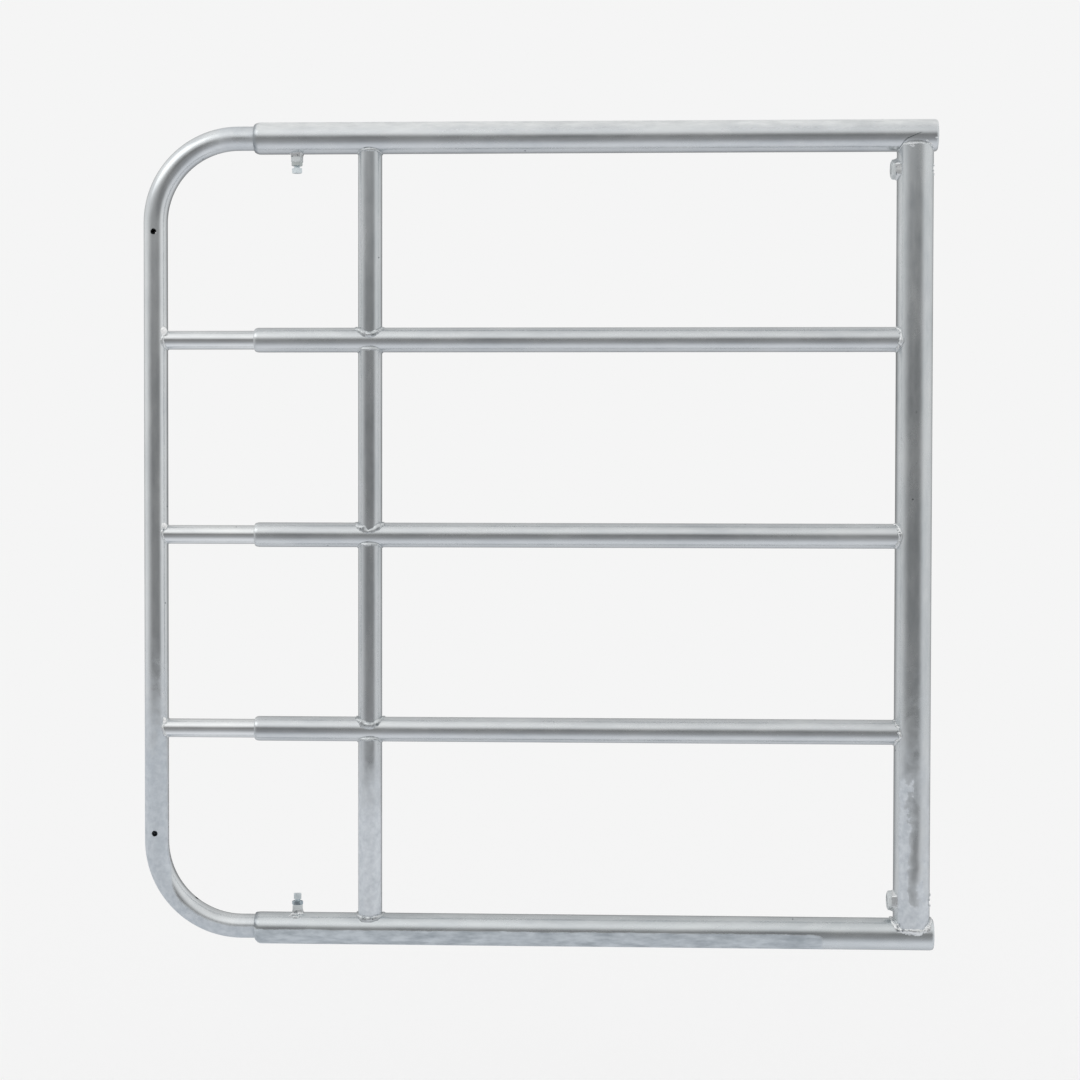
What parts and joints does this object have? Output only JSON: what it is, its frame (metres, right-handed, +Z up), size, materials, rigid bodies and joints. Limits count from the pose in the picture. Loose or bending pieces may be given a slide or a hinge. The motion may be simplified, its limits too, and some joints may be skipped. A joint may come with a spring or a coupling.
{
  "type": "adjustable field gate",
  "caption": "Adjustable field gate leaf in galvanised steel tube: a bent end frame with inner tubes slides out of the hinged frame's rails and is held by clamp screws.",
  "frame": {"origin": "on the free face of the lower hinge nut, 9.5 mm above its bolt axis", "axes": "+X towards the hinge post, +Z up, front of the gate faces -Y"},
  "size_m": [1.055, 0.0482, 1.1],
  "materials": {
    "galvanised_tube": "hot-dip galvanised, satin",
    "galvanised_weld": "rippled weld bead under zinc",
    "galvanised_nut": "hot-dip galvanised, satin",
    "plated_screw": "bright zinc plated"
  },
  "bodies": {
    "hinged_frame": {"hinge_upright": "galvanised_tube", "top_rail": "galvanised_tube", "upper_rail": "galvanised_tube", "middle_rail": "galvanised_tube", "lower_rail": "galvanised_tube", "bottom_rail": "galvanised_tube", "top_stay": "galvanised_tube", "upper_stay": "galvanised_tube", "lower_stay": "galvanised_tube", "bottom_stay": "galvanised_tube", "top_hinge_nut": "galvanised_nut", "bottom_hinge_nut": "galvanised_nut", "top_clamp_nut": "galvanised_nut", "bottom_clamp_nut": "galvanised_nut", "top_lock_nut": "plated_screw", "bottom_lock_nut": "plated_screw", "upright_welds": "galvanised_weld", "stay_welds": "galvanised_weld", "nut_welds": "galvanised_weld"},
    "sliding_frame": {"end_frame": "galvanised_tube", "upper_slide_tube": "galvanised_tube", "middle_slide_tube": "galvanised_tube", "lower_slide_tube": "galvanised_tube", "end_frame_welds": "galvanised_weld"},
    "top_clamp": {"top_clamp_screw": "plated_screw"},
    "bottom_clamp": {"bottom_clamp_screw": "plated_screw"}
  },
  "joints": [
    {"name": "end_frame_slide", "type": "slide", "parent": "hinged_frame", "child": "sliding_frame", "axis": [-1, 0, 0], "range_m": [0, 0.65]},
    {"name": "top_clamp_turn", "type": "hinge", "parent": "hinged_frame", "child": "top_clamp", "pos_m": [-0.78765, 0, 0.9681], "axis": [0, 0, -1], "range_deg": [0, 720]},
    {"name": "bottom_clamp_turn", "type": "hinge", "parent": "hinged_frame", "child": "bottom_clamp", "pos_m": [-0.78765, 0, -0.0191], "axis": [0, 0, 1], "range_deg": [0, 720]}
  ]
}
